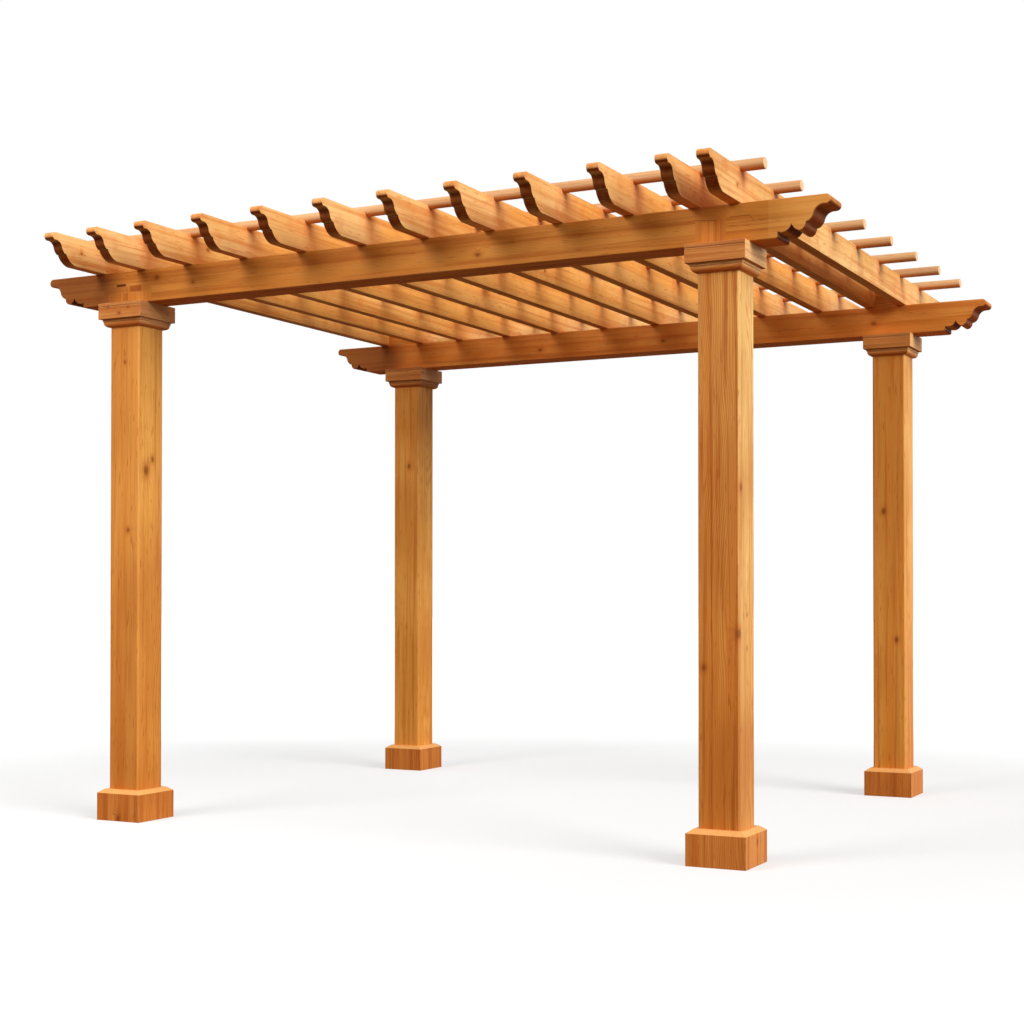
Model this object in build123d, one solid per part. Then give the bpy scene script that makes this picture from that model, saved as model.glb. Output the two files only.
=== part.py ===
from build123d import *
import os

os.makedirs("parts", exist_ok=True)

# A garden pergola of stained softwood, in millimetres, +Z up.
# Two scrolled beams run left to right (X) on four clad posts.  Scrolled rafters
# lie across them front to back (Y), and round rods lie across the rafters.
# The origin is on the ground under the middle of the roof.

# Posts: square timber clad with boards, one width from the ground to the beam
POST_WIDTH = 178.0
POST_ARRIS = 6.0
POST_SPACING_X = 3070.0
POST_SPACING_Y = 2625.0
BEAM_UNDERSIDE = 2514.0

# Base trim: four mitred boards round each foot, with a sloped top edge
BASE_PROJECTION = 40.0
BASE_HEIGHT = 150.0
BASE_SLOPE_DROP = 18.0
BASE_SLOPE_RUN = 26.0

# Capital: a band of boards under the beam, and a moulding under the band with a flat
# fillet over a quarter round that is set back a little
BAND_PROJECTION = 41.0
BAND_HEIGHT = 76.0
BAND_STRIP_HEIGHT = 14.0
BAND_JOINT_WIDTH = 3.0
BAND_JOINT_DEPTH = 3.0
MOULDING_PROJECTION = 26.0
MOULDING_HEIGHT = 38.0
MOULDING_FILLET_HEIGHT = 12.0
MOULDING_SETBACK = 3.0
MOULDING_LAST_FLAT = 1.0

# Beams: the front one is cut shorter, and lies a little to the left
FRONT_BEAM_LENGTH = 4028.0
FRONT_BEAM_SHIFT = -14.0
BACK_BEAM_LENGTH = 4116.0
BEAM_THICKNESS = 152.0
BEAM_HEIGHT = 158.0
BEAM_ARRIS = 3.0

# Rafters: twelve, the middle eight at one pitch, the outer ones closer together.
# They run out further behind the back beam than before the front one
RAFTER_LENGTH = 3790.0
RAFTER_THICKNESS = 53.0
RAFTER_DEPTH = 140.0
RAFTER_FRONT_OVERHANG = 356.0
MIDDLE_RAFTERS = 8
MIDDLE_PITCH = 328.0
MIDDLE_SHIFT = -14.0
LEFT_SECOND_GAP = 284.0
LEFT_END_GAP = 256.0
RIGHT_SECOND_GAP = 294.0
RIGHT_END_GAP = 173.0

# Blocks between the paired rafters, on the back beam over its two posts
BLOCK_THICKNESS = 38.0
BLOCK_SETBACK = 4.0

# Rods: round bars let into notches in the rafter tops.  Their left ends line up, and
# each rod runs out further to the right than the one before it
ROD_COUNT = 8
ROD_DIAMETER = 48.0
ROD_FRONT_MARGIN = 366.0
ROD_BACK_MARGIN = 498.0
ROD_LEFT_OVERHANG = 120.0
ROD_FIRST_RIGHT_OVERHANG = 102.0
ROD_RIGHT_GROWTH = 18.0
ROD_SINK = 13.0
ROD_CLEARANCE = 0.2
ROD_END_EASE = 2.5
NOTCH_SIDES = 12

# Scrolled end, shared by rafters and beams: a rounded nose, a cove, a shoulder, and a
# small step.  Runs go into the board from its tip, and drops go down from its top edge
NOSE_HEIGHT = 36.0
NOSE_UNDERSIDE = 9.0
COVE_RUN = 35.0
COVE_DROP = 28.0
SHOULDER_RUN = 22.0
SHOULDER_DROP = 28.0
LEDGE_RUN = 8.0
STEP_RUN = 2.0
STEP_DROP = 7.0

# Under the step a rafter has one long shallow curve
RAFTER_BELLY_RUN = 62.0
RAFTER_BELLY_RADIUS = 90.0

# Under the step a beam, whose scroll is a little larger, has a lobe, a pointed notch,
# a second lobe with a flat ledge, and a rounded heel
BEAM_END_SCALE = 1.1
LOBE_RUN = 26.0
LOBE_DROP = 25.0
LOBE_RADIUS = 28.0
VEE_RUN = 31.0
VEE_RISE = 32.0
VEE_SIDE_RADIUS = 42.0
LEDGE_LIFT = 2.0
SECOND_LEDGE_RUN = 25.0
SECOND_LEDGE_RADIUS = 40.0
HEEL_RADIUS = 11.0

# Worked out
rafter_top = BEAM_UNDERSIDE + BEAM_HEIGHT + RAFTER_DEPTH
beam_top = BEAM_UNDERSIDE + BEAM_HEIGHT
front_post_y = -RAFTER_LENGTH / 2 + RAFTER_FRONT_OVERHANG + BEAM_THICKNESS / 2
back_post_y = front_post_y + POST_SPACING_Y
post_places = {
    "front_left": (-POST_SPACING_X / 2, front_post_y),
    "front_right": (POST_SPACING_X / 2, front_post_y),
    "back_left": (-POST_SPACING_X / 2, back_post_y),
    "back_right": (POST_SPACING_X / 2, back_post_y),
}
middle_half = (MIDDLE_RAFTERS - 1) * MIDDLE_PITCH / 2
rafter_x = [MIDDLE_SHIFT - middle_half + i * MIDDLE_PITCH for i in range(MIDDLE_RAFTERS)]
rafter_x = [rafter_x[0] - LEFT_SECOND_GAP] + rafter_x + [rafter_x[-1] + RIGHT_SECOND_GAP]
rafter_x = [rafter_x[0] - LEFT_END_GAP] + rafter_x + [rafter_x[-1] + RIGHT_END_GAP]
rod_pitch = (RAFTER_LENGTH - ROD_FRONT_MARGIN - ROD_BACK_MARGIN) / (ROD_COUNT - 1)
rod_y = [ROD_FRONT_MARGIN - RAFTER_LENGTH / 2 + i * rod_pitch for i in range(ROD_COUNT)]
rod_z = rafter_top + ROD_DIAMETER / 2 - ROD_SINK
rod_left = rafter_x[0] - RAFTER_THICKNESS / 2 - ROD_LEFT_OVERHANG
first_rod_right = rafter_x[-1] + RAFTER_THICKNESS / 2 + ROD_FIRST_RIGHT_OVERHANG


def scroll_start(scale):
    """Edges of the outer part of a scrolled end, from the top of the nose to the foot
    of the small step.  X runs from the tip into the board, Y is minus the depth."""
    nose = NOSE_HEIGHT * scale
    under = nose / 2 + NOSE_UNDERSIDE * scale
    cove_foot = (under + COVE_RUN * scale, -nose - COVE_DROP * scale)
    shoulder = (cove_foot[0] + SHOULDER_RUN * scale, cove_foot[1] - SHOULDER_DROP * scale)
    ledge = (shoulder[0] + LEDGE_RUN * scale, shoulder[1])
    step = (ledge[0] + STEP_RUN * scale, ledge[1] - STEP_DROP * scale)
    cove = TangentArc((under, -nose), cove_foot, tangent=(1, 0))
    edges = [
        ThreePointArc((nose / 2, 0), (0, -nose / 2), (nose / 2, -nose)),
        Line((nose / 2, -nose), (under, -nose)),
        cove,
        TangentArc(cove_foot, shoulder, tangent=cove % 1),
        Line(shoulder, ledge),
        Line(ledge, step),
    ]
    return edges, step


def rafter_tail():
    """The rafter's scroll: the shared start, then one long curve to the underside."""
    edges, step = scroll_start(1.0)
    heel = (step[0] + RAFTER_BELLY_RUN, -RAFTER_DEPTH)
    edges.append(RadiusArc(step, heel, -RAFTER_BELLY_RADIUS))
    return edges, heel


def beam_tail():
    """The beam's scroll: the shared start, a lobe, a V-notch, a second lobe and a heel."""
    edges, step = scroll_start(BEAM_END_SCALE)
    lobe = (step[0] + LOBE_RUN, step[1] - LOBE_DROP)
    vee = (lobe[0] + VEE_RUN, lobe[1] + VEE_RISE)
    second = (vee[0] + VEE_RUN, lobe[1])
    ledge = (second[0] + SECOND_LEDGE_RUN, lobe[1] + LEDGE_LIFT)
    foot = (ledge[0], HEEL_RADIUS - BEAM_HEIGHT)
    heel = (foot[0] + HEEL_RADIUS, -BEAM_HEIGHT)
    edges += [
        RadiusArc(step, lobe, -LOBE_RADIUS),
        RadiusArc(lobe, vee, -VEE_SIDE_RADIUS),
        RadiusArc(vee, second, -VEE_SIDE_RADIUS),
        RadiusArc(second, ledge, -SECOND_LEDGE_RADIUS),
        Line(ledge, foot),
        RadiusArc(foot, heel, -HEEL_RADIUS),
    ]
    return edges, heel


def scrolled_board(tail, heel, length):
    """Side outline of a board with the same scroll at both ends, its top edge on Y = 0."""
    start = [edge.moved(Location((-length / 2, 0, 0))) for edge in tail]
    end = [edge.mirror(Plane.YZ) for edge in start]
    shoulder = (tail[0] @ 0).X - length / 2
    top = Line((shoulder, 0), (-shoulder, 0))
    underside = Line((heel[0] - length / 2, heel[1]), (length / 2 - heel[0], heel[1]))
    return Face(Wire(start + end + [top, underside]))


def ring(width, low, high):
    """Square block between two heights, for a ring round the post."""
    return Pos(0, 0, (low + high) / 2) * Box(width, width, high - low)


def make_post():
    """Square post from the ground to the beam, with eased corners."""
    post = Pos(0, 0, BEAM_UNDERSIDE / 2) * Box(POST_WIDTH, POST_WIDTH, BEAM_UNDERSIDE)
    return chamfer(post.edges().filter_by(Axis.Z), POST_ARRIS)


def make_base():
    """Trim boards round the foot, with the top edge sloped to shed water."""
    block = ring(POST_WIDTH + 2 * BASE_PROJECTION, 0, BASE_HEIGHT)
    top = block.faces().sort_by(Axis.Z)[-1]
    block = chamfer(top.edges(), BASE_SLOPE_RUN, BASE_SLOPE_DROP, reference=top)
    return block - post


def make_band():
    """Band of boards under the beam; a strip tops the front and back boards, with an open joint."""
    width = POST_WIDTH + 2 * BAND_PROJECTION
    band = ring(width, BEAM_UNDERSIDE - BAND_HEIGHT, BEAM_UNDERSIDE)
    joint_z = BEAM_UNDERSIDE - BAND_STRIP_HEIGHT - BAND_JOINT_WIDTH / 2
    for side in (-1, 1):
        face_y = side * (width / 2 - BAND_JOINT_DEPTH / 2)
        band -= Pos(0, face_y, joint_z) * Box(width, BAND_JOINT_DEPTH, BAND_JOINT_WIDTH)
    return band - post


def make_moulding():
    """Mitred moulding under the band: a flat fillet, and a quarter round set back below it."""
    top = BEAM_UNDERSIDE - BAND_HEIGHT
    fillet_foot = top - MOULDING_FILLET_HEIGHT
    flat = ring(POST_WIDTH + 2 * MOULDING_PROJECTION, fillet_foot, top)
    round_reach = MOULDING_PROJECTION - MOULDING_SETBACK
    quarter = ring(POST_WIDTH + 2 * round_reach, top - MOULDING_HEIGHT, fillet_foot)
    radius = min(round_reach, MOULDING_HEIGHT - MOULDING_FILLET_HEIGHT) - MOULDING_LAST_FLAT
    quarter = fillet(quarter.edges().group_by(Axis.Z)[0], radius)
    return flat + quarter - post


def make_beam(length, shift, y):
    """Beam with a scroll at each end, standing on the posts at this y."""
    tail, heel = beam_tail()
    outline = Plane.XZ * scrolled_board(tail, heel, length)
    beam = extrude(outline, BEAM_THICKNESS / 2, both=True)
    long_edges = beam.edges().filter_by(Axis.X).sort_by(SortBy.LENGTH)[-4:]
    beam = chamfer(long_edges, BEAM_ARRIS)
    return Pos(shift, y, beam_top) * beam


def make_rafter(x):
    """Rafter with a scroll at each end and a gouged notch in its top for every rod."""
    tail, heel = rafter_tail()
    outline = Plane.YZ * scrolled_board(tail, heel, RAFTER_LENGTH)
    rafter = extrude(outline, RAFTER_THICKNESS / 2, both=True)
    seat_radius = ROD_DIAMETER / 2 + ROD_CLEARANCE
    seat = RegularPolygon(seat_radius, NOTCH_SIDES, major_radius=False, rotation=180 / NOTCH_SIDES)
    notch = extrude(Plane.YZ * seat, RAFTER_THICKNESS, both=True)
    for y in rod_y:
        rafter -= Pos(0, y, rod_z - rafter_top) * notch
    return Pos(x, 0, rafter_top) * rafter


def make_rod(number, y):
    """Round rod lying across all the rafters, with eased ends."""
    right = first_rod_right + (number - 1) * ROD_RIGHT_GROWTH
    rod = Cylinder(ROD_DIAMETER / 2, right - rod_left)
    rod = chamfer(rod.edges().filter_by(GeomType.CIRCLE), ROD_END_EASE)
    return Pos((rod_left + right) / 2, y, rod_z) * Rot(0, 90, 0) * rod


def make_block(left_x, right_x):
    """Short board that closes the gap between two rafters on the back beam."""
    width = right_x - left_x - RAFTER_THICKNESS
    front = back_post_y - BEAM_THICKNESS / 2 + BLOCK_SETBACK
    centre_z = beam_top + RAFTER_DEPTH / 2
    return Pos((left_x + right_x) / 2, front + BLOCK_THICKNESS / 2, centre_z) * Box(
        width, BLOCK_THICKNESS, RAFTER_DEPTH
    )


post = make_post()
base = make_base()
band = make_band()
moulding = make_moulding()

pieces = {}
for place, (x, y) in post_places.items():
    pieces["post_" + place] = Pos(x, y, 0) * post
    pieces["base_trim_" + place] = Pos(x, y, 0) * base
    pieces["capital_band_" + place] = Pos(x, y, 0) * band
    pieces["capital_moulding_" + place] = Pos(x, y, 0) * moulding
pieces["beam_front"] = make_beam(FRONT_BEAM_LENGTH, FRONT_BEAM_SHIFT, front_post_y)
pieces["beam_back"] = make_beam(BACK_BEAM_LENGTH, 0, back_post_y)
for number, x in enumerate(rafter_x, start=1):
    pieces[f"rafter_{number:02d}"] = make_rafter(x)
for number, y in enumerate(rod_y, start=1):
    pieces[f"rod_{number}"] = make_rod(number, y)
pieces["block_back_left"] = make_block(rafter_x[0], rafter_x[1])
pieces["block_back_right"] = make_block(rafter_x[-2], rafter_x[-1])

for name, solid in pieces.items():
    export_step(solid, f"parts/{name}.step")
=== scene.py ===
import math
import bpy
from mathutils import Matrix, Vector


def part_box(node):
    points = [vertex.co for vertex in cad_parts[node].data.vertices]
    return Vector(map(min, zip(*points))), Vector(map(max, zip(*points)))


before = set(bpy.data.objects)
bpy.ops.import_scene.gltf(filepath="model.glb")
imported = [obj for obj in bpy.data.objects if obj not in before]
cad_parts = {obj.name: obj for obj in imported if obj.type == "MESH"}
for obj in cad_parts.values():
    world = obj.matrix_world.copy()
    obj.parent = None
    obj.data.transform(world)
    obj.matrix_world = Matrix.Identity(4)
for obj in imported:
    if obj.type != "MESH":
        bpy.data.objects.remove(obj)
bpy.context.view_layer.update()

# The camera stands low in front of the right end of the pergola and looks left along
# its front, as the photograph does.  Its place is measured from the middle of the ground
# line between the two front posts, in metres and degrees.
CAMERA_FROM_FRONT_POSTS = (3.894, -6.3595, 1.098)
CAMERA_TURN_LEFT = 26.60
CAMERA_TILT_UP = 0.72
CAMERA_LENS_MM = 58.14
CAMERA_SENSOR_MM = 36.0
CAMERA_SHIFT = (-0.0323, 0.0598)

low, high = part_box("post_front_right")
front_posts_y = (low.y + high.y) / 2
camera_data = bpy.data.cameras.new("camera")
camera_data.sensor_width = CAMERA_SENSOR_MM
camera_data.lens = CAMERA_LENS_MM
camera_data.shift_x, camera_data.shift_y = CAMERA_SHIFT
camera = bpy.data.objects.new("camera", camera_data)
camera.location = Vector(CAMERA_FROM_FRONT_POSTS) + Vector((0, front_posts_y, 0))
camera.rotation_euler = (math.radians(90 + CAMERA_TILT_UP), 0, math.radians(CAMERA_TURN_LEFT))
bpy.context.collection.objects.link(camera)
bpy.context.scene.camera = camera
bpy.context.scene.view_settings.view_transform = "Standard"


# Posts: square, of a timber core clad with boards, standing on the ground.  The grain
# runs up the post, the corners are eased, and a satin stain covers it.  The left and right
# faces are painted paler than the front and back, as painted light.
POST_PLACES = ("front_left", "front_right", "back_left", "back_right")
POST_ARRIS = 0.006
# The pith's place across the board, in metres, and how far it shifts from post to post.
# A seed says where in the noise a piece's grain is cut, and no two pieces share one.
POST_PITH = (0.30, 0.12)
POST_PITH_STEP = -0.05
POST_SEED_STEP = 11.0
# A timber's three tones: where it is light, in the middle, and in its dark late wood
POST_TONES = ((0.82, 0.335, 0.065), (0.69, 0.215, 0.031), (0.41, 0.085, 0.008))
# The back posts' tones are painted lighter than the front posts' tones, as painted light
BACK_POST_LIT_TONES = ((0.96, 0.430, 0.085), (0.86, 0.300, 0.042), (0.54, 0.125, 0.012))
# Each post's side faces: the tone of their painted light
LIT_SIDE_TONES = {"front_left": (0.98, 0.480, 0.105), "front_right": (1.00, 0.660, 0.225),
              "back_left": (1.00, 0.520, 0.120), "back_right": (0.88, 0.500, 0.140)}
# Painted light that grows towards a post's head: how much of it the front and back faces show,
# how pale the side faces are at the foot, and the heights between which it grows
FRONT_PAINTED_LIGHT = {"front_left": 0.42, "front_right": 0.22, "back_left": 0.25, "back_right": 0.15}
FRONT_PAINTED_LIGHT_HEIGHTS = (0.6, 2.2)
SIDE_PAINTED_LIGHT_AT_FOOT = 0.38
SIDE_PAINTED_LIGHT_HEIGHTS = (0.2, 2.2)
# Painted shade darkens a post towards its foot: what multiplies its colour, and the heights
# between which that fades out
FOOT_SHADE_TONE = (0.89, 0.84, 0.76)
FOOT_SHADE_HEIGHTS = (0.15, 1.6)
# How strongly the grain shows on the front and back faces, and on the side faces
POST_FIGURE = {"front_left": (0.55, 0.55), "front_right": (1.25, 0.70),
               "back_left": (0.90, 0.70), "back_right": (1.00, 1.00)}
# Each knot: how far along the board, its two places across it, and its radius
POST_KNOTS = {
    "front_left": ((1.757, 0.089, 0.012, 0.010), (1.700, 0.089, -0.035, 0.016),
                   (1.409, 0.024, -0.089, 0.008), (2.227, 0.002, -0.089, 0.006),
                   (0.90, -0.089, 0.03, 0.014)),
    "front_right": ((0.938, 0.086, -0.086, 0.013), (0.800, -0.062, -0.089, 0.009),
                    (1.528, 0.089, -0.068, 0.009), (1.013, 0.089, 0.001, 0.004),
                    (0.879, 0.089, 0.001, 0.004), (1.30, 0.02, 0.089, 0.013)),
    "back_left": ((1.90, 0.02, -0.089, 0.010), (1.10, -0.089, 0.02, 0.014),
                  (0.70, 0.03, 0.089, 0.012)),
    "back_right": ((1.55, -0.03, -0.089, 0.011), (0.85, 0.04, -0.089, 0.010),
                   (1.75, 0.01, 0.089, 0.014)),
}


class Wire:
    """One socket of a material.  Arithmetic on it adds Math nodes, and make adds any other."""

    def __init__(self, tree, socket):
        self.tree = tree
        self.socket = socket

    def make(self, kind, settings=None, inputs=None, output=0):
        """Add a node: its settings first, then the values or wires of its sockets."""
        node = self.tree.nodes.new(kind)
        for key, value in (settings or {}).items():
            setattr(node, key, value)
        for key, value in (inputs or {}).items():
            socket = node.inputs[key]
            if isinstance(value, Wire):
                self.tree.links.new(value.socket, socket)
            elif socket.type == "RGBA":
                socket.default_value = (*value, 1.0)
            else:
                socket.default_value = value
        return Wire(self.tree, node.outputs[output])

    def math(self, operation, *values):
        """Add a Math node that works on this wire, and on the values if it takes more."""
        inputs = dict(enumerate((self, *values)))
        return self.make("ShaderNodeMath", {"operation": operation}, inputs)

    def __add__(self, other):
        return self.math("ADD", other)

    def __sub__(self, other):
        return self.math("SUBTRACT", other)

    def __mul__(self, other):
        return self.math("MULTIPLY", other)

    def __truediv__(self, other):
        return self.math("DIVIDE", other)

    def __pow__(self, other):
        return self.math("POWER", other)

    def __rsub__(self, other):
        return self.make("ShaderNodeMath", {"operation": "SUBTRACT"}, {0: other, 1: self})

    __radd__ = __add__
    __rmul__ = __mul__

    def between(self, low, high):
        """Nought below low, one above high, and a smooth rise from one to the other."""
        return self.make("ShaderNodeMapRange", {"interpolation_type": "SMOOTHSTEP"},
                         {"Value": self, "From Min": low, "From Max": high})

    def choose(self, plain, other):
        """Value that goes from plain to other as this wire goes from nought to one."""
        return plain + (other - plain) * self

    def mix(self, plain, mixed, blend="MIX"):
        """Colour that goes from plain to mixed as this wire goes from nought to one."""
        return self.make("ShaderNodeMix", {"data_type": "RGBA", "blend_type": blend},
                         {0: self, 6: plain, 7: mixed}, output=2)

    def split(self):
        """The three parts of a vector, as three wires."""
        node = self.tree.nodes.new("ShaderNodeSeparateXYZ")
        self.tree.links.new(self.socket, node.inputs[0])
        return [Wire(self.tree, socket) for socket in node.outputs]


def new_finish(name):
    """Empty material: it, its surface shader, and a wire with the place in metres."""
    material = bpy.data.materials.new(name)
    material.use_nodes = True
    tree = material.node_tree
    shader = tree.nodes["Principled BSDF"]
    place = Wire(tree, tree.nodes.new("ShaderNodeTexCoord").outputs["Object"])
    return material, shader, place


def feed(shader, name, wire):
    """Join a wire to one socket of the surface shader."""
    wire.tree.links.new(wire.socket, shader.inputs[name])


# Layers of noise in the grain: how fast each changes along and across the board, its
# detail, and a shift that sets it apart from the other layers
GRAIN_NOISE = {
    "sway": (0.8, 4.0, 1.0, 3.0),
    "wobble": (2.4, 18.0, 2.0, 7.0),
    "broad": (0.6, 15.0, 3.0, 0.0),
    "streaks": (1.0, 44.0, 3.0, 5.0),
    "fibres": (7.0, 330.0, 2.0, 13.0),
    "patches": (1.5, 3.0, 1.0, 17.0),
    "flecks": (16.0, 130.0, 0.0, 23.0),
}
GRAIN_NOISE_ROUGHNESS = 0.55
# The two values of its noise between which a layer comes in
GRAIN_LIMITS = {"broad": (0.38, 0.62), "streaks": (0.46, 0.66), "fibres": (0.35, 0.75),
                "patches": (0.42, 0.66), "flecks": (0.70, 0.80)}
# How wide a growth ring is and how far the pith sways across the board and up it, in
# metres, and how far the rings wobble, in ring widths
RING_WIDTH = 0.006
PITH_SWAY = (0.12, 0.07)
RING_WOBBLE = 2.0
# How much of its colour each layer lays on.  The rings darken more where the broad layer
# is light, and it thins out the painted lit tone there.  A patch is the middle tone, shaded.
RING_DARKNESS = 0.14
RING_DARKNESS_BY_BROAD = 0.34
STREAK_DARKNESS = 0.56
FIBRE_DARKNESS = 0.22
FLECK_DARKNESS = 0.45
PATCH_DARKNESS = 0.50
PATCH_SHADE = 0.78
BROAD_OVER_PALE = 0.26
# Knots: how much a distance along the board counts, so that a knot is longer that way,
# the reach of its core and of the halo where the rings bend round it, in radiuses, and
# how it darkens and dents the wood
KNOT_TONE = (0.19, 0.040, 0.006)
KNOT_ALONG = 0.7
KNOT_WOBBLE = 1.3
KNOT_CORE = (0.30, 1.55)
KNOT_HALO = (0.6, 4.5)
KNOT_BEND = 3.0
KNOT_CORE_DARKNESS = 0.68
KNOT_HALO_DARKNESS = 0.52
KNOT_DENT = 0.5
# How high the rings, fibres and streaks stand, and how rough they make the satin stain
RING_HEIGHT = 0.25
FIBRE_HEIGHT = 0.6
STREAK_HEIGHT = 0.3
STAIN_ROUGHNESS = 0.42
FIBRE_ROUGHNESS = 0.16
RING_ROUGHNESS = 0.05


def timber(along, across, up, seed, tones, pith, knots=(), ring_width=RING_WIDTH,
           painted_light=None, lit_tone=None, figure=1.0):
    """Colour, roughness and height of sawn softwood, as wires.  Figure is how strongly
    the grain shows, and painted_light is how much of the lit tone, a painted light, is laid over
    the timber's own.

    The growth rings are circles round the pith, a line that runs along the board beside
    it, and the saw cuts them into straight grain on one face and arched grain on the
    next.  A ring's shade is a cosine of the distance from the pith over the ring's
    width, raised to a power so that the dark late wood is a thin line.  Slow noise that
    is stretched along the board bends the rings, and fast noise gives the fibres.
    """
    def grain_noise(layer):
        along_scale, across_scale, detail, shift = GRAIN_NOISE[layer]
        vector = along.make("ShaderNodeCombineXYZ", None, {
            "X": along * along_scale + (seed + shift),
            "Y": across * across_scale, "Z": up * across_scale})
        return along.make("ShaderNodeTexNoise", None, {
            "Vector": vector, "Scale": 1.0, "Detail": detail,
            "Roughness": GRAIN_NOISE_ROUGHNESS})

    sway = grain_noise("sway") - 0.5
    wobble = grain_noise("wobble") - 0.5

    # Knots: each is an egg-shaped core, longer along the board, that bends the rings round it
    nearest = None
    for knot_along, knot_across, knot_up, radius in knots:
        reach = (((along - knot_along) * KNOT_ALONG) ** 2 + (across - knot_across) ** 2
                 + (up - knot_up) ** 2) ** 0.5 / radius
        nearest = reach if nearest is None else nearest.math("MINIMUM", reach)

    distance = ((across - pith[0] + sway * PITH_SWAY[0]) ** 2
                + (up - pith[1] + sway * PITH_SWAY[1]) ** 2) ** 0.5
    turns = distance / ring_width + wobble * RING_WOBBLE
    if nearest is not None:
        nearest = nearest + wobble * KNOT_WOBBLE
        halo = 1.0 - nearest.between(*KNOT_HALO)
        turns = turns + halo * KNOT_BEND
    rings = ((turns * math.tau).math("COSINE") * 0.5 + 0.5) ** 2.0

    light, middle, dark = tones
    patch_tone = tuple(part * PATCH_SHADE for part in middle)
    broad = grain_noise("broad").between(*GRAIN_LIMITS["broad"])
    streaks = grain_noise("streaks").between(*GRAIN_LIMITS["streaks"])
    fibres = grain_noise("fibres")
    fine_lines = fibres.between(*GRAIN_LIMITS["fibres"])
    patches = grain_noise("patches").between(*GRAIN_LIMITS["patches"])
    flecks = grain_noise("flecks").between(*GRAIN_LIMITS["flecks"])
    ring_darkness = RING_DARKNESS + RING_DARKNESS_BY_BROAD * broad
    colour = broad.mix(middle, light)
    # Painted light: the lit tone laid over the timber's own
    if painted_light is not None:
        colour = (painted_light * (1.0 - BROAD_OVER_PALE * broad)).mix(colour, lit_tone)
    colour = (patches * PATCH_DARKNESS).mix(colour, patch_tone)
    colour = (rings * ring_darkness * figure).mix(colour, dark)
    colour = (streaks * (STREAK_DARKNESS * figure)).mix(colour, dark)
    colour = (fine_lines * FIBRE_DARKNESS + flecks * FLECK_DARKNESS).mix(colour, dark)
    height = rings * RING_HEIGHT + fibres * FIBRE_HEIGHT + streaks * STREAK_HEIGHT
    if nearest is not None:
        core = 1.0 - nearest.between(*KNOT_CORE)
        colour = (halo * halo * KNOT_HALO_DARKNESS).mix(colour, dark)
        colour = (core * KNOT_CORE_DARKNESS).mix(colour, KNOT_TONE)
        height = height - core * KNOT_DENT
    roughness = STAIN_ROUGHNESS + fibres * FIBRE_ROUGHNESS + rings * RING_ROUGHNESS
    return colour, roughness, height


# The axes: along the beams, along the rafters, and up
X, Y, Z = 0, 1, 2
# Limits of how squarely a face has to look to the front, or to the left or right
FRONT_FACING = (-0.8, -0.4)
SIDE_FACING = (0.3, 0.8)


def true_facing(place, axis):
    """How far the surface faces along X, Y or Z, from -1 to 1."""
    return place.make("ShaderNodeNewGeometry", output="True Normal").split()[axis]


def facing_front(place):
    """One on the faces that look to the front, and nought on the others."""
    return 1.0 - true_facing(place, Y).between(*FRONT_FACING)


# Undersides: the painted shade that multiplies their colour, and how squarely a face has to look
# down
UNDERSIDE_SHADE_TONE = (0.92, 0.59, 0.36)
UNDERSIDE_ROUGHNESS = 0.85
UNDERSIDE_FACING = (-0.75, -0.10)
# Arrises: how far they are rounded, and how strongly a painted highlight lies along them.
# The highlight starts and ends at these differences between the flat and the rounded surface.
ARRIS = 0.003
ARRIS_SAMPLES = 4
ARRIS_HIGHLIGHT = 0.50
ARRIS_HIGHLIGHT_TONE = (0.95, 0.50, 0.17)
ARRIS_HIGHLIGHT_TURN = (0.01, 0.20)
# The grain's relief, in metres, and the stain's gloss
GRAIN_BUMP = 0.35
GRAIN_BUMP_DEPTH = 0.0012
STAIN_SPECULAR = 0.08


def finish_wood(shader, place, colour, roughness, height, arris=ARRIS, highlight_tone=ARRIS_HIGHLIGHT_TONE,
                highlight=ARRIS_HIGHLIGHT):
    """Join the timber's wires to the shader.  Undersides are painted browner, as painted
    shade.  Arrises get a painted highlight, and they are rounded in the shading."""
    # Painted shade: faces that look down are darker and browner
    underside = 1.0 - true_facing(place, Z).between(*UNDERSIDE_FACING)
    colour = underside.mix(colour, UNDERSIDE_SHADE_TONE, "MULTIPLY")
    rounded = place.make("ShaderNodeBevel", {"samples": ARRIS_SAMPLES}, {"Radius": arris})
    flat = place.make("ShaderNodeNewGeometry", output="True Normal")
    turned = rounded.make("ShaderNodeVectorMath", {"operation": "DOT_PRODUCT"},
                          {0: rounded, 1: flat}, output="Value")
    # Painted highlight along the arrises, where the rounded normal turns from the flat one
    colour = ((1.0 - turned).between(*ARRIS_HIGHLIGHT_TURN) * highlight).mix(colour, highlight_tone)
    normal = height.make("ShaderNodeBump", None, {
        "Strength": GRAIN_BUMP, "Distance": GRAIN_BUMP_DEPTH, "Height": height,
        "Normal": rounded})
    roughness = underside.choose(roughness, UNDERSIDE_ROUGHNESS)
    shader.inputs["Specular IOR Level"].default_value = STAIN_SPECULAR
    feed(shader, "Base Color", colour)
    feed(shader, "Roughness", roughness)
    feed(shader, "Normal", normal)


def middle_of(node_name):
    """The middle of the box round a CAD node."""
    low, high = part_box(node_name)
    return (low + high) / 2


def dress(node_name, material):
    """Put a material on a CAD node in place of the plain one."""
    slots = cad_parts[node_name].data.materials
    slots.clear()
    slots.append(material)


def inside(wire, ends, soft=0.002):
    """One where the wire lies between two values, with soft limits."""
    start, end = ends
    return wire.between(start - soft, start + soft) * (1.0 - wire.between(end - soft, end + soft))


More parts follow.
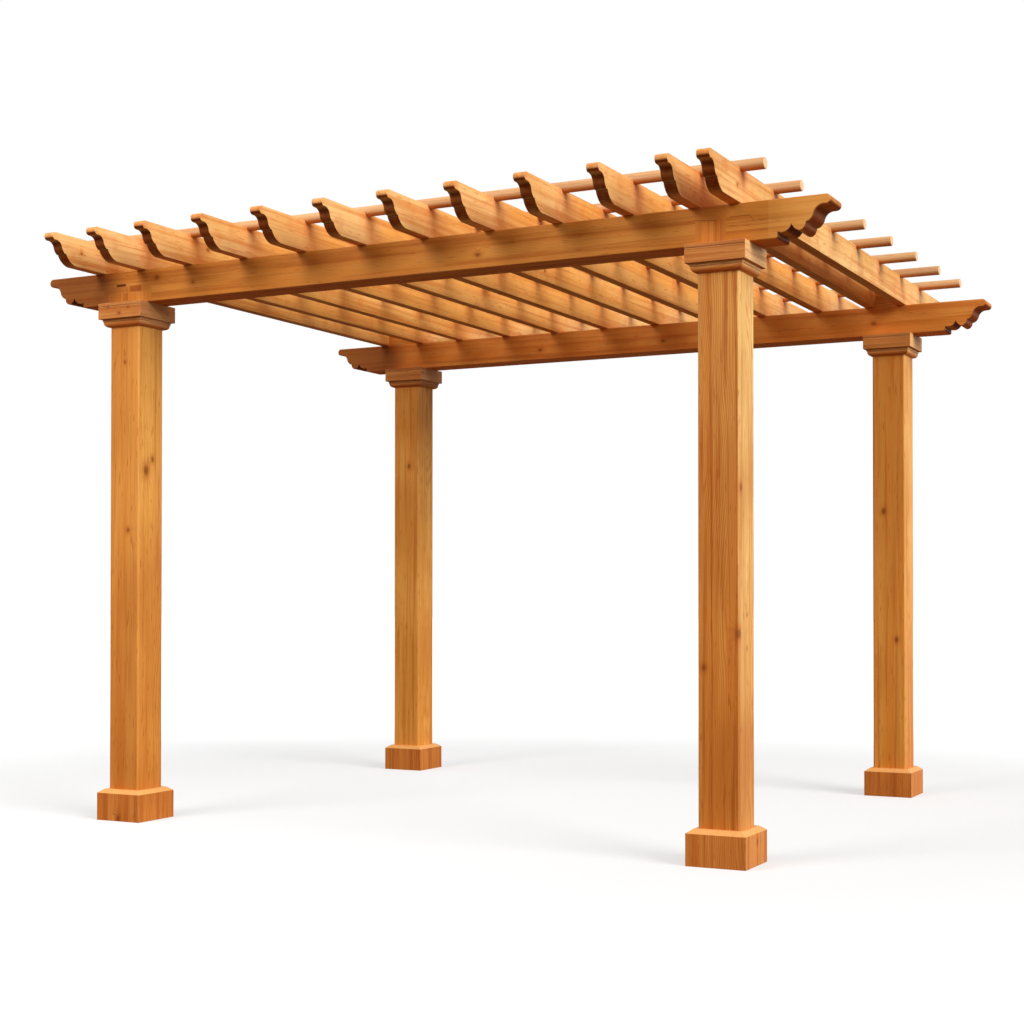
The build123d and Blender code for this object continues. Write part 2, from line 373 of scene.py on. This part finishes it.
# The front right post's streak: how far left of the middle it runs and how far it wavers,
# in metres, and how fast it wavers and comes and goes on the way up
STREAK_TONE = (0.30, 0.060, 0.006)
STREAK_PLACE = 0.030
STREAK_WAVER = 0.030
STREAK_WAVER_SCALE = 1.8
STREAK_BREAKS_SCALE = 3.1
STREAK_DETAIL = 2.0
STREAK_BREAKS = (0.30, 0.62)
STREAK_ENDS = (-0.002, 0.002)
STREAK_SOFT = 0.003
STREAK_STRENGTH = 0.80
HEARTWOOD_TONE = (0.62, 0.150, 0.015)
HEARTWOOD_ENDS = (-0.030, 0.0)
HEARTWOOD_SOFT = 0.012
HEARTWOOD_STRENGTH = 0.30


def long_streak(place, colour, centre):
    """A dark streak that wavers up the front face, and the reddish heartwood left of it."""
    x, _, z = place.split()
    upward = z.make("ShaderNodeCombineXYZ", None, {"Z": z})
    waver, breaks = [upward.make("ShaderNodeTexNoise", None,
                                 {"Vector": upward, "Scale": scale, "Detail": STREAK_DETAIL})
                     for scale in (STREAK_WAVER_SCALE, STREAK_BREAKS_SCALE)]
    front = facing_front(place)
    from_streak = x - centre.x + STREAK_PLACE + (waver - 0.5) * STREAK_WAVER
    heartwood = inside(from_streak, HEARTWOOD_ENDS, HEARTWOOD_SOFT) * front
    streak = inside(from_streak, STREAK_ENDS, STREAK_SOFT) * breaks.between(*STREAK_BREAKS) * front
    colour = (heartwood * HEARTWOOD_STRENGTH).mix(colour, HEARTWOOD_TONE)
    return (streak * STREAK_STRENGTH).mix(colour, STREAK_TONE)


for number, place_name in enumerate(POST_PLACES):
    name = "post_" + place_name
    material, shader, place = new_finish("stained_" + name)
    x, y, z = place.split()
    centre = middle_of(name)
    side = true_facing(place, X).math("ABSOLUTE").between(*SIDE_FACING)
    # Painted light: the side faces are paler, more so up the post, and the front and back faces
    # paler towards the head
    side_painted_light = (SIDE_PAINTED_LIGHT_AT_FOOT
                   + (1.0 - SIDE_PAINTED_LIGHT_AT_FOOT) * z.between(*SIDE_PAINTED_LIGHT_HEIGHTS))
    front_painted_light = FRONT_PAINTED_LIGHT[place_name] * z.between(*FRONT_PAINTED_LIGHT_HEIGHTS)
    colour, roughness, height = timber(
        z, x - centre.x, y - centre.y, POST_SEED_STEP * number,
        POST_TONES if place_name.startswith("front") else BACK_POST_LIT_TONES,
        (POST_PITH[0], POST_PITH[1] + POST_PITH_STEP * number), POST_KNOTS[place_name],
        painted_light=side.choose(front_painted_light, side_painted_light), lit_tone=LIT_SIDE_TONES[place_name],
        figure=side.choose(*POST_FIGURE[place_name]))
    # Painted shade towards the foot
    colour = (1.0 - z.between(*FOOT_SHADE_HEIGHTS)).mix(colour, FOOT_SHADE_TONE, "MULTIPLY")
    if place_name == "front_right":
        colour = long_streak(place, colour, centre)
    finish_wood(shader, place, colour, roughness, height, arris=POST_ARRIS)
    dress(name, material)


# Base trim: four short boards mitred round each foot, with a sloped top edge that sheds
# water.  Their grain stands upright, like the post's, and the side boards and the slope
# are painted paler, as painted light.
TRIM_TONES = ((0.76, 0.260, 0.050), (0.62, 0.175, 0.027), (0.36, 0.070, 0.008))
# Painted light: how much of the side faces' lit tone the side boards take, and the sloped top's lit
# tone and strength
TRIM_SIDE_PAINTED_LIGHT = 0.15
TRIM_SLOPE_LIT_TONE = (0.98, 0.520, 0.175)
TRIM_SLOPE_PAINTED_LIGHT = 0.65
TRIM_SLOPE_FACING = (0.3, 0.6)
TRIM_PITH = (0.23, 0.05)
TRIM_SEED = 50.0
TRIM_SEED_STEP = 7.0
TRIM_KNOTS = {"front_left": ((0.012, 0.002, -0.129, 0.010),),
              "front_right": ((0.098, 0.710, 0.129, 0.006),)}
MITRE_SOFT = 0.0005
SIDE_BOARD_SHIFT = 0.7


def ring_boards(place, centre):
    """Boards boxed round a post: wires along the board, out from the post, and up, and a
    fourth that is one on the side boards.  The boards change at the mitres, where the two
    level distances from the middle match."""
    x, y, z = place.split()
    x, y = x - centre.x, y - centre.y
    side_board = (x.math("ABSOLUTE") - y.math("ABSOLUTE")).between(-MITRE_SOFT, MITRE_SOFT)
    along = side_board.choose(x, y + SIDE_BOARD_SHIFT)
    return along, side_board.choose(y, x), z, side_board


for number, place_name in enumerate(POST_PLACES):
    name = "base_trim_" + place_name
    material, shader, place = new_finish("stained_" + name)
    along, out, up, side_board = ring_boards(place, middle_of(name))
    colour, roughness, height = timber(
        up, along, out, TRIM_SEED + TRIM_SEED_STEP * number, TRIM_TONES, TRIM_PITH,
        TRIM_KNOTS.get(place_name, ()),
        painted_light=side_board * TRIM_SIDE_PAINTED_LIGHT, lit_tone=LIT_SIDE_TONES[place_name])
    # Painted light on the sloped top, which looks up
    slope = true_facing(place, Z).between(*TRIM_SLOPE_FACING)
    colour = (slope * TRIM_SLOPE_PAINTED_LIGHT).mix(colour, TRIM_SLOPE_LIT_TONE)
    finish_wood(shader, place, colour, roughness, height)
    dress(name, material)


# Capitals: a band of boards boxed round the head of each post, and under it a small
# moulding.  Band and moulding are painted paler on their sides, as painted light, and their
# arrises carry a strong painted highlight.
CAPITAL_TONES = ((0.82, 0.350, 0.092), (0.70, 0.245, 0.053), (0.40, 0.088, 0.013))
BAND_SIDE_LIT_TONE = (1.00, 0.600, 0.250)
BAND_SIDE_PAINTED_LIGHT = 0.9
# The capitals' painted highlight along the arrises: its tone and strength
CAPITAL_HIGHLIGHT_TONE = (1.00, 0.62, 0.30)
CAPITAL_HIGHLIGHT = 0.70
CAPITAL_PITH = (0.07, 2.36)
CAPITAL_SEED = 90.0
CAPITAL_SEED_STEP = 7.0
MOULDING_SEED_SHIFT = 3.5
BAND_KNOTS = {"front_left": ((-0.070, -0.130, 2.494, 0.0055), (-0.001, -0.130, 2.461, 0.0060),
                             (0.055, -0.130, 2.486, 0.0045))}

for number, place_name in enumerate(POST_PLACES):
    band_seed = CAPITAL_SEED + CAPITAL_SEED_STEP * number
    for part, seed, knots in (
            ("capital_band_", band_seed, BAND_KNOTS.get(place_name, ())),
            ("capital_moulding_", band_seed + MOULDING_SEED_SHIFT, ())):
        name = part + place_name
        material, shader, place = new_finish("stained_" + name)
        along, out, up, side_board = ring_boards(place, middle_of(name))
        # Painted light on the side boards
        grain = timber(along, out, up, seed, CAPITAL_TONES, CAPITAL_PITH, knots,
                       painted_light=side_board * BAND_SIDE_PAINTED_LIGHT, lit_tone=BAND_SIDE_LIT_TONE)
        finish_wood(shader, place, *grain, highlight_tone=CAPITAL_HIGHLIGHT_TONE, highlight=CAPITAL_HIGHLIGHT)
        dress(name, material)


# Beams: two long timbers with scroll-cut ends, which carry the roof on the posts.  The
# grain runs from end to end.  The front beam is pieced over its posts: a short panel with
# upright grain, a seam, a filled slot and a few splits show there.
BEAM_TONES = ((0.84, 0.345, 0.062), (0.71, 0.240, 0.032), (0.42, 0.092, 0.009))
# The back beam's tones are painted lighter than the front beam's, as painted light
BACK_BEAM_LIT_TONES = ((0.97, 0.390, 0.076), (0.87, 0.280, 0.042), (0.56, 0.122, 0.012))
BEAM_ARRIS = 0.004
BEAM_PITH = (-0.05, -0.35)
BEAM_SEED = 130.0
BEAM_SEED_STEP = 9.0
BEAM_KNOTS = {
    "beam_front": ((-1.348, -0.076, 0.033, 0.010), (-1.130, -0.076, -0.007, 0.006),
                   (0.42, -0.076, -0.020, 0.008), (-0.3, 0.076, 0.02, 0.014),
                   (1.1, 0.076, -0.03, 0.012)),
    "beam_back": ((0.2, -0.076, -0.02, 0.010), (1.45, -0.076, -0.01, 0.012),
                  (-0.6, -0.076, -0.02, 0.010), (0.7, 0.076, 0.03, 0.014),
                  (-1.2, 0.076, -0.02, 0.012)),
}
# Both beams' left ends are browner on the front face: where that is full, and where it
# has faded out
LEFT_END = (-1.72, -1.50)
LEFT_END_TONE = (0.17, 0.030, 0.006)
LEFT_END_STRENGTH = 0.70
# Panels with upright grain over the right and left post: each one's ends along the beam,
# the heights over the beam's middle between which it stops, and its ends' softness
RIGHT_PANEL = ((1.4395, 1.5560), (0.020, 0.036), 0.008)
LEFT_PANEL = ((-1.66, -1.40), (-0.03, 0.0), 0.02)
PANEL_GRAIN_ALONG = 0.8
PANEL_GRAIN_SHIFT = 7.0
PANEL_GRAIN_ACROSS = 0.7
# Right of the seam the board is paler, and more so towards its end
SEAM = 1.7425
SEAM_SOFT = 0.002
PALE_BOARD_FULL = 1.95
PALE_BOARD_TONE = (0.97, 0.46, 0.110)
PALE_BOARD_STRENGTH = 0.18
# Upright joints: each one's place, half its width, its darkness, and the two heights over
# the beam's middle between which it fades out
JOINTS = ((1.5218, 0.0012, 0.35, (0.0, 0.03)), (1.5560, 0.001, 0.20, (0.0, 0.03)),
          (SEAM, 0.0008, 0.16, None), (-1.533, 0.0012, 0.70, (-0.01, 0.01)))
# Splits: each one's two ends, its height over the beam's middle, and its slope
SPLITS = ((1.426, 1.522, 0.0265, -0.10), (1.582, 1.667, 0.026, 0.0), (1.667, 1.684, 0.025, -1.6))
SPLIT_HALF_WIDTH = 0.0014
SPLIT_DARKNESS = 0.65
SPLIT_SOFT = 0.004
# The slot and the stained patch beside it: their ends, and their heights
SLOT = ((-1.598, -1.540), (0.006, 0.018))
SLOT_SOFT = 0.003
SLOT_DARKNESS = 0.95
PATCH = ((-1.515, -1.445), (-0.022, 0.006))
PATCH_SOFT = 0.004
PATCH_TONE = (0.34, 0.055, 0.008)
PATCH_STRENGTH = 0.70
GAP_TONE = (0.10, 0.016, 0.003)


def upright_panel(x, up, panel):
    """One on a panel with upright grain, and nought on the rest of the beam."""
    ends, top, soft = panel
    return inside(x, ends, soft) * (1.0 - up.between(*top))


def front_beam_marks(x, up, front, colour):
    """The paler board, joints, splits and filled slot on the front beam's front face."""
    pale_board = (x.between(SEAM - SEAM_SOFT, SEAM + SEAM_SOFT)
                  + x.between(SEAM, PALE_BOARD_FULL)) * front
    colour = (pale_board * PALE_BOARD_STRENGTH).mix(colour, PALE_BOARD_TONE)
    marks = []
    for joint, half_width, darkness, fade in JOINTS:
        mark = inside(x, (joint - half_width, joint + half_width))
        if fade is not None:
            mark = mark * (1.0 - up.between(*fade))
        marks.append(mark * darkness)
    for start, end, height, slope in SPLITS:
        from_split = up - (x - start) * slope - height
        split = inside(from_split, (-SPLIT_HALF_WIDTH, SPLIT_HALF_WIDTH))
        marks.append(split * inside(x, (start, end), SPLIT_SOFT) * SPLIT_DARKNESS)
    marks.append(inside(x, SLOT[0], SLOT_SOFT) * inside(up, SLOT[1]) * SLOT_DARKNESS)
    lines = marks[0]
    for mark in marks[1:]:
        lines = lines + mark
    patch = inside(x, PATCH[0], PATCH_SOFT) * inside(up, PATCH[1], PATCH_SOFT) * front
    colour = (patch * PATCH_STRENGTH).mix(colour, PATCH_TONE)
    return (lines * front).math("MINIMUM", 1.0).mix(colour, GAP_TONE)


# Sawn ends: what multiplies the colour on the nose, for the stain that end grain soaks up,
# and on the scroll below it, for that stain and painted shade; how squarely a sawn face looks
# out along the board and down, and how deep the nose is
BEAM_CUT_AND_SHADE_TONES = ((0.80, 0.80, 0.70), (0.36, 0.25, 0.19))
CUT_FACING = (0.15, 0.75)
CUT_FACING_DOWN = (-0.60, -0.15)
NOSE_DEPTH = 0.034
NOSE_SOFT = 0.004


def stain_ends_and_shade_scroll(place, colour, name, axis, tones):
    """Sawn ends soak up more stain, the nose a little; the scroll under the nose gets painted shade
    too.
    """
    nose_tone, scroll_stain_and_shade = tones
    _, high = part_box(name)
    nose_base = high.z - NOSE_DEPTH
    sawn = true_facing(place, axis).math("ABSOLUTE").between(*CUT_FACING)
    facing_down = 1.0 - true_facing(place, Z).between(*CUT_FACING_DOWN)
    under_nose = 1.0 - place.split()[Z].between(nose_base - NOSE_SOFT, nose_base)
    shaded_below = facing_down.math("MAXIMUM", under_nose)
    colour = sawn.mix(colour, nose_tone, "MULTIPLY")
    # Painted shade on the scroll under the nose and on sawn faces that look down, over the end
    # grain's stain
    return (sawn * shaded_below).mix(colour, scroll_stain_and_shade, "MULTIPLY")


for number, name in enumerate(("beam_front", "beam_back")):
    material, shader, place = new_finish("stained_" + name)
    x, y, z = place.split()
    centre = middle_of(name)
    up = z - centre.z
    along, up_grain, tones = x, up, BACK_BEAM_LIT_TONES
    front = facing_front(place)
    if name == "beam_front":
        upright = (upright_panel(x, up, RIGHT_PANEL)
                   + upright_panel(x, up, LEFT_PANEL)).math("MINIMUM", 1.0)
        along = upright.choose(x, up * PANEL_GRAIN_ALONG + PANEL_GRAIN_SHIFT)
        up_grain = upright.choose(up, x * PANEL_GRAIN_ACROSS)
        tones = BEAM_TONES
    colour, roughness, height = timber(
        along, y - centre.y, up_grain, BEAM_SEED + BEAM_SEED_STEP * number, tones, BEAM_PITH,
        BEAM_KNOTS[name])
    if name == "beam_front":
        colour = front_beam_marks(x, up, front, colour)
    left_end = 1.0 - x.between(*LEFT_END)
    colour = (left_end * front * LEFT_END_STRENGTH).mix(colour, LEFT_END_TONE)
    colour = stain_ends_and_shade_scroll(place, colour, name, X, BEAM_CUT_AND_SHADE_TONES)
    finish_wood(shader, place, colour, roughness, height, arris=BEAM_ARRIS)
    dress(name, material)


# Rafters: twelve boards on edge, scroll-cut at both ends and notched on top for the rods.
# A soft brown painted shadow of each rod lies below its notch, and the tails and the outer
# face at the right are painted paler, as painted light.
RAFTER_COUNT = 12
RAFTER_TONES = ((0.97, 0.535, 0.155), (0.92, 0.425, 0.095), (0.62, 0.175, 0.025))
RAFTER_CUT_AND_SHADE_TONES = ((0.96, 0.90, 0.84), (0.29, 0.155, 0.09))
RAFTER_HIGHLIGHT_TONE = (0.98, 0.58, 0.22)
RAFTER_LIT_TONE = (1.00, 0.690, 0.310)
RAFTER_PAINTED_LIGHT = 0.65
TAIL_SOFT = 0.15
# The boards are cut from four places up the log, in turn
RAFTER_PITH = (0.10, -0.22)
RAFTER_PITH_STEP = 0.03
RAFTER_PITH_COUNT = 4
RAFTER_SEED = 170.0
RAFTER_SEED_STEP = 5.0
RAFTER_KNOTS = {
    1: ((-1.70, 0.0265, 0.0, 0.007),),
    3: ((-1.42, 0.0265, 0.02, 0.009),),
    7: ((-0.40, 0.0265, -0.02, 0.009),),
    9: ((0.30, -0.0265, 0.0, 0.010),),
    12: ((-1.576, 0.0265, -0.005, 0.008), (0.55, 0.0265, 0.01, 0.009)),
}
# Painted shadows of the rods: how far they spread along the rafter, and the heights over its
# middle between which they grow.  The same noise breaks them up and lays stain blotches, in
# the same tone, between them.
ROD_SHADOW_AND_BLOTCH_TONE = (0.66, 0.165, 0.028)
ROD_SHADOW_REACH = 0.110
ROD_SHADOW_HEIGHTS = (-0.10, 0.08)
ROD_SHADOW_LIMITS = (0.25, 0.65)
ROD_SHADOW_STRENGTH = 0.70
BLOTCH_LIMITS = (0.50, 0.72)
BLOTCH_STRENGTH = 0.30
BLOTCH_NOISE = {"Scale": 11.0, "Detail": 3.0}
ROD_COUNT = 8

rod_middles = [middle_of(f"rod_{number}").y for number in range(1, ROD_COUNT + 1)]
rod_pitch = (rod_middles[-1] - rod_middles[0]) / (ROD_COUNT - 1)
between_beams = (front_posts_y, middle_of("beam_back").y)
for number in range(1, RAFTER_COUNT + 1):
    name = f"rafter_{number:02d}"
    material, shader, place = new_finish("stained_" + name)
    x, y, z = place.split()
    centre = middle_of(name)
    up = z - centre.z
    # Painted light: paler tails outside the beams, and the last rafter's outer face
    if number < RAFTER_COUNT:
        painted_lit_parts = 1.0 - inside(y, between_beams, TAIL_SOFT)
    else:
        painted_lit_parts = true_facing(place, X).between(*SIDE_FACING)
    pith_up = RAFTER_PITH[1] + RAFTER_PITH_STEP * (number % RAFTER_PITH_COUNT)
    colour, roughness, height = timber(
        y, x - centre.x, up, RAFTER_SEED + RAFTER_SEED_STEP * number, RAFTER_TONES,
        (RAFTER_PITH[0], pith_up), RAFTER_KNOTS.get(number, ()),
        painted_light=painted_lit_parts * RAFTER_PAINTED_LIGHT, lit_tone=RAFTER_LIT_TONE)
    rods_along = (y - rod_middles[0]) / rod_pitch + 0.5
    from_rod = (rods_along.math("FRACT") - 0.5).math("ABSOLUTE") * rod_pitch
    blotches = place.make("ShaderNodeTexNoise", None, {"Vector": place, **BLOTCH_NOISE})
    # Painted shadow of the rod below each notch, broken up by the blotch noise
    rod_shadow = ((1.0 - from_rod.between(0.0, ROD_SHADOW_REACH)) * up.between(*ROD_SHADOW_HEIGHTS)
            * blotches.between(*ROD_SHADOW_LIMITS))
    colour = (blotches.between(*BLOTCH_LIMITS) * BLOTCH_STRENGTH).mix(colour, ROD_SHADOW_AND_BLOTCH_TONE)
    colour = (rod_shadow * ROD_SHADOW_STRENGTH).mix(colour, ROD_SHADOW_AND_BLOTCH_TONE)
    colour = stain_ends_and_shade_scroll(place, colour, name, Y, RAFTER_CUT_AND_SHADE_TONES)
    finish_wood(shader, place, colour, roughness, height, highlight_tone=RAFTER_HIGHLIGHT_TONE)
    dress(name, material)


# Rods: eight round bars let into the rafters' notches, of a pinker, finer wood than the
# rest, with pale sawn ends.
ROD_TONES = ((0.84, 0.520, 0.270), (0.76, 0.430, 0.195), (0.52, 0.200, 0.065))
ROD_END_TONE = (0.95, 0.62, 0.36)
ROD_END_STRENGTH = 0.8
ROD_END_FACING = (0.5, 0.9)
ROD_ARRIS = 0.002
ROD_RING_WIDTH = 0.004
ROD_PITH = (0.03, -0.04)
ROD_SEED = 240.0
ROD_SEED_STEP = 5.0

for number in range(1, ROD_COUNT + 1):
    name = f"rod_{number}"
    material, shader, place = new_finish("stained_" + name)
    x, y, z = place.split()
    centre = middle_of(name)
    sawn_end = true_facing(place, X).math("ABSOLUTE").between(*ROD_END_FACING)
    colour, roughness, height = timber(
        x, y - centre.y, z - centre.z, ROD_SEED + ROD_SEED_STEP * number, ROD_TONES,
        ROD_PITH, ring_width=ROD_RING_WIDTH)
    colour = (sawn_end * ROD_END_STRENGTH).mix(colour, ROD_END_TONE)
    finish_wood(shader, place, colour, roughness, height, arris=ROD_ARRIS)
    dress(name, material)


# Blocks: two short boards of the beams' timber.  Each fills the gap between the paired
# rafters over a back post, and stands on the back beam.
BLOCK_ARRIS = 0.002
BLOCK_PITH = (0.12, 0.03)
BLOCK_SEED = 290.0
BLOCK_SEED_STEP = 7.0

for number, name in enumerate(("block_back_left", "block_back_right")):
    material, shader, place = new_finish("stained_" + name)
    x, y, z = place.split()
    centre = middle_of(name)
    grain = timber(x, y - centre.y, z - centre.z, BLOCK_SEED + BLOCK_SEED_STEP * number,
                   BEAM_TONES, BLOCK_PITH)
    finish_wood(shader, place, *grain, arris=BLOCK_ARRIS)
    dress(name, material)


# Studio: a broad soft key light from the right, a wide lamp high in front on the left,
# and a dim white room, which the camera sees as plain white.
KEY_FROM = Vector((0.87, -0.27, 0.41))
KEY_STRENGTH = 3.05
KEY_SPREAD = 38.0
FRONT_LAMP_PLACE = Vector((-3.0, -7.5, 6.5))
FRONT_LAMP_SIZE = 4.0
FRONT_LAMP_POWER = 370.0
LAMP_AIM = Vector((0, 0, 1.4))
ROOM_STRENGTH = 0.40

key_data = bpy.data.lights.new("key", "SUN")
key_data.energy = KEY_STRENGTH
key_data.angle = math.radians(KEY_SPREAD)
key = bpy.data.objects.new("key", key_data)
key.rotation_euler = KEY_FROM.to_track_quat("Z", "Y").to_euler()
bpy.context.collection.objects.link(key)
lamp_data = bpy.data.lights.new("front_lamp", "AREA")
lamp_data.size = FRONT_LAMP_SIZE
lamp_data.energy = FRONT_LAMP_POWER
lamp = bpy.data.objects.new("front_lamp", lamp_data)
lamp.location = FRONT_LAMP_PLACE
lamp.rotation_euler = (FRONT_LAMP_PLACE - LAMP_AIM).to_track_quat("Z", "Y").to_euler()
bpy.context.collection.objects.link(lamp)


def seen_directly(tree):
    """One where the camera sees the surface, straight or in a gloss, and nought for the
    light that the surface throws on other things."""
    path = tree.nodes.new("ShaderNodeLightPath")
    camera_ray, glossy_ray, clear_ray = [
        Wire(tree, path.outputs[f"Is {kind} Ray"]) for kind in ("Camera", "Glossy", "Transmission")]
    return (camera_ray + glossy_ray + clear_ray).math("MINIMUM", 1.0)


world = bpy.data.worlds.new("room")
bpy.context.scene.world = world
world.use_nodes = True
background = world.node_tree.nodes["Background"]
background.inputs["Color"].default_value = (1, 1, 1, 1)
strength = seen_directly(world.node_tree).choose(ROOM_STRENGTH, 1.0)
world.node_tree.links.new(strength.socket, background.inputs["Strength"])


# Floor: a wide pale sheet that goes to white, and keeps only the soft shadows.  Light that
# it throws back up at the pergola is kept low, as in the photograph's dark undersides.
FLOOR_HALF = 60.0
FLOOR_SEEN = 0.47
FLOOR_BOUNCE = 0.13
# The glow that whitens the floor, how much stronger it is far out, and the distances from
# the middle between which it grows
FLOOR_GLOW = 0.52
FLOOR_FAR_GLOW = 0.30
FLOOR_FAR = (2.6, 6.5)

floor_mesh = bpy.data.meshes.new("floor")
corners = [(-FLOOR_HALF, -FLOOR_HALF, 0), (FLOOR_HALF, -FLOOR_HALF, 0),
           (FLOOR_HALF, FLOOR_HALF, 0), (-FLOOR_HALF, FLOOR_HALF, 0)]
floor_mesh.from_pydata(corners, [], [(0, 1, 2, 3)])
floor = bpy.data.objects.new("floor", floor_mesh)
bpy.context.collection.objects.link(floor)
material, shader, place = new_finish("floor_paint")
tree = material.node_tree
painted, bounce = [place.make("ShaderNodeBsdfDiffuse", None, {"Color": (grey, grey, grey)})
                   for grey in (FLOOR_SEEN, FLOOR_BOUNCE)]
from_middle = place.make("ShaderNodeVectorMath", {"operation": "LENGTH"}, {0: place},
                         output="Value")
glow_strength = from_middle.between(*FLOOR_FAR).choose(FLOOR_GLOW, FLOOR_GLOW + FLOOR_FAR_GLOW)
glow = place.make("ShaderNodeEmission", None, {"Color": (1, 1, 1), "Strength": glow_strength})
bright = place.make("ShaderNodeAddShader", None, {0: painted, 1: glow})
surface = place.make("ShaderNodeMixShader", None, {0: seen_directly(tree), 1: bounce, 2: bright})
tree.links.new(surface.socket, tree.nodes["Material Output"].inputs["Surface"])
tree.nodes.remove(shader)
floor_mesh.materials.append(material)
